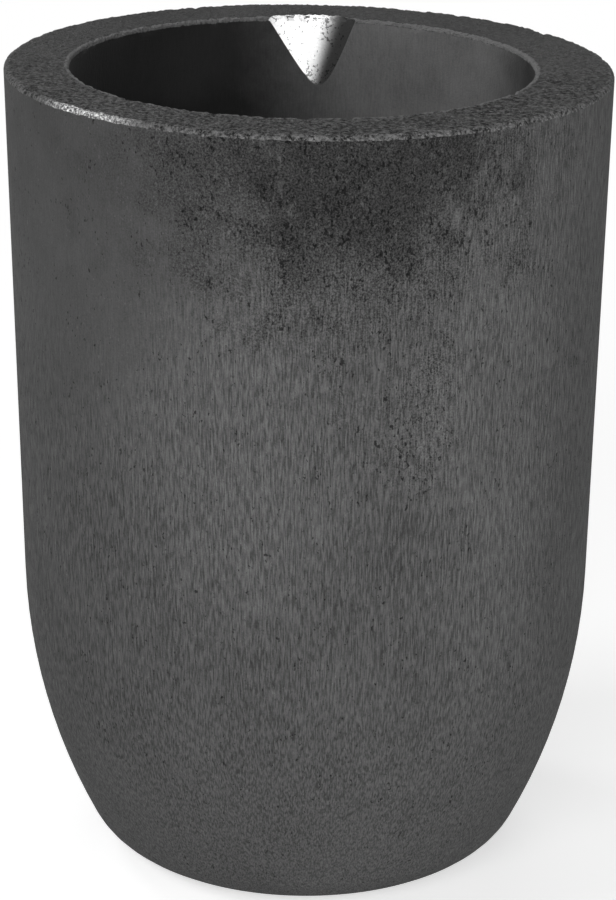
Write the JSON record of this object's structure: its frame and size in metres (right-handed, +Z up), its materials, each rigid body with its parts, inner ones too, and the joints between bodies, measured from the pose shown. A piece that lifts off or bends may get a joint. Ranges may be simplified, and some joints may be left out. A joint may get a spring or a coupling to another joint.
{
  "type": "foundry crucible",
  "caption": "Thick-walled pot with a flat rim, a shallow pouring notch and a rounded belly over a small flat base, for melting metal in a furnace.",
  "frame": {"origin": "middle of the flat base, on the surface that the pot stands on", "axes": "+Z up along the axis of the bore, +Y towards the pouring notch"},
  "size_m": [0.14, 0.14, 0.192],
  "materials": {
    "graphite_ceramic": "dark grey graphite and clay: dry, finely streaked and pitted outside, granular on the rim, satin in the bore, burnished in the pouring notch"
  },
  "bodies": {
    "root": {"crucible": "graphite_ceramic"}
  },
  "joints": []
}
